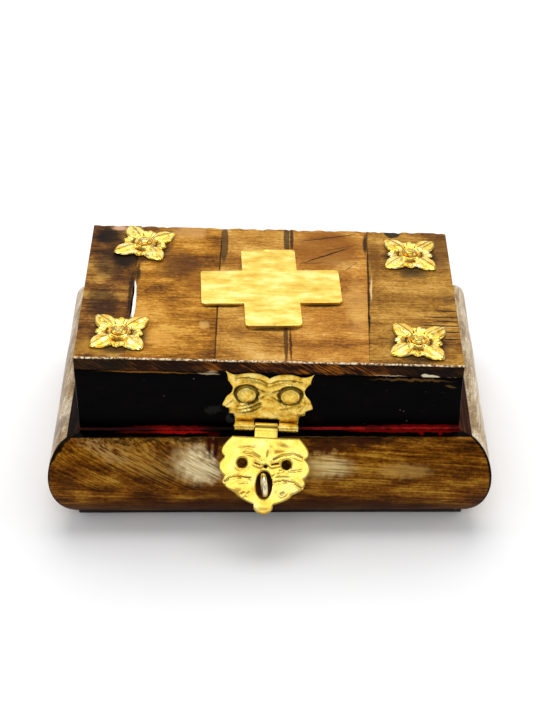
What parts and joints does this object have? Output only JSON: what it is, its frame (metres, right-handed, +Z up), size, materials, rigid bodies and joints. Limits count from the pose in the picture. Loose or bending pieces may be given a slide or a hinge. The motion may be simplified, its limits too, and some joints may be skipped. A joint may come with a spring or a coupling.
{
  "type": "tabernacle box",
  "caption": "Small hinged casket with a flared bone-faced body, straight black lid with a bone slab roof, brass cross, rosettes and a hasp clasp.",
  "frame": {"origin": "middle of the base board's underside, where the box stands", "axes": "+X along the box's length to the right, +Y from the clasp side to the hinge side, +Z up"},
  "size_m": [0.1522, 0.1145, 0.0708],
  "materials": {
    "honey_bone": "polished honey-brown stained bone, semi-gloss",
    "brown_bone": "brown stained bone, semi-gloss, worn",
    "black_wood": "black stained and varnished wood",
    "brown_wood": "dark brown varnished wood",
    "raw_wood": "bare wood",
    "red_felt": "red felt",
    "polished_brass": "polished stamped brass",
    "satin_brass": "satin brass with fine scratches"
  },
  "bodies": {
    "body": {"base_board": "brown_wood", "clasp_eye": "polished_brass", "body_lining": "red_felt", "felt_front": "red_felt", "felt_left": "red_felt", "felt_right": "red_felt", "felt_rear": "red_felt", "bone_front": "honey_bone", "wall_front": "raw_wood", "rim_front": "black_wood", "bone_right": "honey_bone", "wall_right": "raw_wood", "rim_right": "brown_wood", "bone_rear": "honey_bone", "wall_rear": "raw_wood", "rim_rear": "brown_wood", "bone_left": "honey_bone", "wall_left": "raw_wood", "rim_left": "brown_wood", "hinge_left_body_leaf": "polished_brass", "hinge_left_pin": "polished_brass", "hinge_left_body_nail_1": "polished_brass", "hinge_left_body_nail_2": "polished_brass", "hinge_right_body_leaf": "polished_brass", "hinge_right_pin": "polished_brass", "hinge_right_body_nail_1": "polished_brass", "hinge_right_body_nail_2": "polished_brass"},
    "lid": {"lid_wall_front": "black_wood", "lid_wall_rear": "black_wood", "lid_wall_left": "black_wood", "lid_wall_right": "black_wood", "bone_slab_3": "honey_bone", "bone_slab_4": "honey_bone", "bone_slab_1": "brown_bone", "bone_slab_2": "brown_bone", "bone_slab_5": "brown_bone", "lid_top_board": "raw_wood", "lid_lining": "red_felt", "hinge_left_lid_leaf": "polished_brass", "hinge_left_lid_nail_1": "polished_brass", "hinge_left_lid_nail_2": "polished_brass", "hinge_right_lid_leaf": "polished_brass", "hinge_right_lid_nail_1": "polished_brass", "hinge_right_lid_nail_2": "polished_brass", "clasp_pin": "polished_brass", "clasp_nail_left": "polished_brass", "clasp_nail_right": "polished_brass", "rosette_front_left": "polished_brass", "rosette_rear_left": "polished_brass", "rosette_rear_right": "polished_brass", "rosette_front_right": "polished_brass", "rosette_pin_front_left": "polished_brass", "rosette_pin_rear_left": "polished_brass", "rosette_pin_rear_right": "polished_brass", "rosette_pin_front_right": "polished_brass", "cross_plate": "satin_brass", "clasp_plate": "satin_brass"},
    "flap": {"clasp_flap": "polished_brass"}
  },
  "joints": [
    {"name": "lid_hinge", "type": "hinge", "parent": "body", "child": "lid", "pos_m": [0, 0.04065, 0.0372], "axis": [-1, 0, 0], "range_deg": [0, 110]},
    {"name": "flap_hinge", "type": "hinge", "parent": "lid", "child": "flap", "pos_m": [-0.001, -0.04115, 0.0395], "axis": [-0.9979, 0, 0.0645], "range_deg": [0, 100]}
  ]
}
